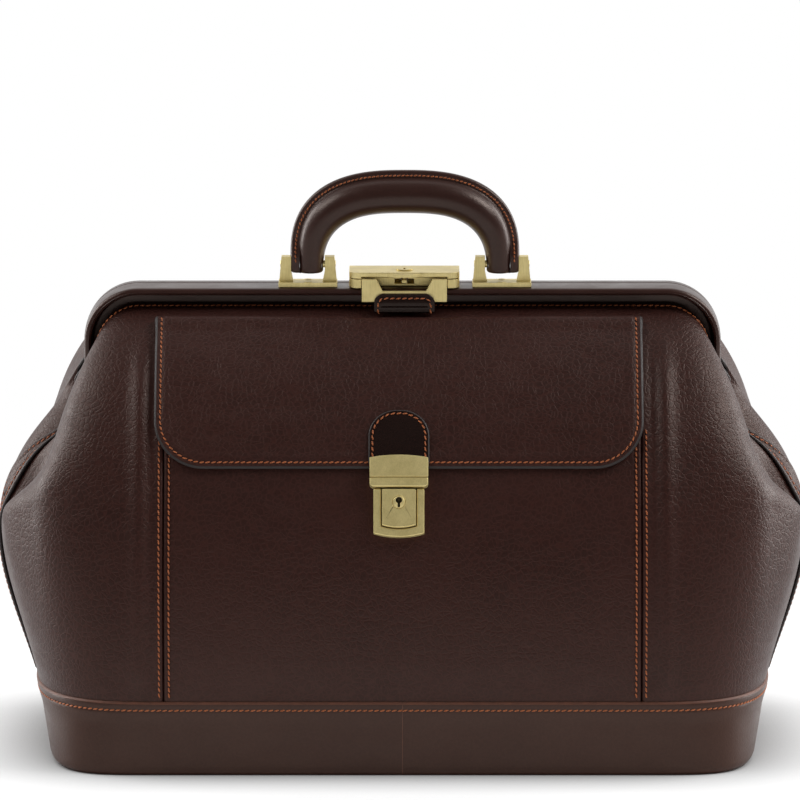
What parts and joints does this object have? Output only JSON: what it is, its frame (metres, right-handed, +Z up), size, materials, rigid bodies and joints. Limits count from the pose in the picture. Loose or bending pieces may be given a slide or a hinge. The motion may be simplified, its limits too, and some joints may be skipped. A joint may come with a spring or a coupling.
{
  "type": "doctor bag",
  "caption": "Framed leather bag with a wide hinged mouth, a top lock, an arched carrying handle and a front pocket under a locking flap.",
  "frame": {"origin": "centre of the flat bottom, on the floor", "axes": "+X along the mouth to the right, front faces -Y, +Z up"},
  "size_m": [0.4472, 0.2134, 0.3192],
  "materials": {
    "body_leather": "dark chocolate-brown calf leather, fine grain, soft polish",
    "base_leather": "brown calf leather, a shade lighter than the body, soft polish",
    "lining_cloth": "tan cotton twill",
    "stiff_board": "pressed fibre board",
    "steel": "plain steel",
    "antique_brass": "brushed antique brass plating",
    "dark_bronze": "darkened bronze"
  },
  "bodies": {
    "bag": {"bottom_panel": "base_leather", "base_board": "stiff_board", "base_band_left": "base_leather", "base_band_right": "base_leather", "front_wall": "body_leather", "pocket_front": "body_leather", "front_side_left": "body_leather", "front_side_right": "body_leather", "side_strip_left": "body_leather", "side_strip_right": "body_leather", "back_panel": "body_leather", "back_side_left": "body_leather", "back_side_right": "body_leather", "back_panel_upper": "body_leather", "back_side_upper_left": "body_leather", "back_side_upper_right": "body_leather", "lining_front": "lining_cloth", "lining_back": "lining_cloth", "lining_back_upper": "lining_cloth", "front_frame": "steel", "front_frame_wrap": "body_leather", "hinge_pins": "steel", "bracket_left": "antique_brass", "bracket_right": "antique_brass", "bracket_screws": "antique_brass", "handle_pins": "antique_brass", "lock_base": "antique_brass", "lock_apron": "antique_brass", "lock_tab": "body_leather", "tuck_lock_body": "antique_brass", "tuck_backplate": "steel", "tuck_spring": "steel"},
    "back_frame": {"back_frame": "steel", "back_frame_wrap": "body_leather", "lock_hinge_plate": "antique_brass", "lock_hinge_pin": "antique_brass"},
    "handle": {"handle_core": "steel", "handle_grip": "body_leather"},
    "lock_cover": {"lock_cover": "antique_brass"},
    "lock_key": {"lock_key_plug": "antique_brass"},
    "flap": {"pocket_flap": "body_leather", "flap_tab": "body_leather", "hasp_plate": "antique_brass", "hasp_clip": "antique_brass", "hasp_rivets": "antique_brass"},
    "tuck_button": {"tuck_button": "antique_brass"},
    "tuck_key": {"tuck_key_plug": "dark_bronze"}
  },
  "joints": [
    {"name": "frame_open", "type": "hinge", "parent": "bag", "child": "back_frame", "pos_m": [0, 0, 0.166], "axis": [-1, 0, 0], "range_deg": [0, 60], "deforming": ["back_panel_upper", "back_side_upper_left", "back_side_upper_right", "lining_back_upper"]},
    {"name": "handle_swing", "type": "hinge", "parent": "bag", "child": "handle", "pos_m": [0, -0.009, 0.268], "axis": [-1, 0, 0], "range_deg": [-90, 90]},
    {"name": "lock_cover_flip", "type": "hinge", "parent": "back_frame", "child": "lock_cover", "pos_m": [0.001, 0.009, 0.2604], "axis": [-1, 0, 0], "range_deg": [0, 100]},
    {"name": "lock_key_turn", "type": "hinge", "parent": "lock_cover", "child": "lock_key", "pos_m": [0.001, -0.01, 0.262], "axis": [0, 0, 1], "range_deg": [0, 90]},
    {"name": "flap_lift", "type": "hinge", "parent": "bag", "child": "flap", "pos_m": [0, -0.02511, 0.2398], "axis": [-1, 0, 0], "range_deg": [0, 95]},
    {"name": "tuck_button_press", "type": "slide", "parent": "bag", "child": "tuck_button", "axis": [0, 0.9468, -0.3218], "range_m": [0, 0.0015], "stiffness_N_per_m": 400, "springref_m": -0.002, "deforming": ["tuck_spring"]},
    {"name": "tuck_key_turn", "type": "hinge", "parent": "tuck_button", "child": "tuck_key", "pos_m": [-0.002, -0.09244, 0.1489], "axis": [0, -0.9468, 0.3218], "range_deg": [0, 90]}
  ]
}
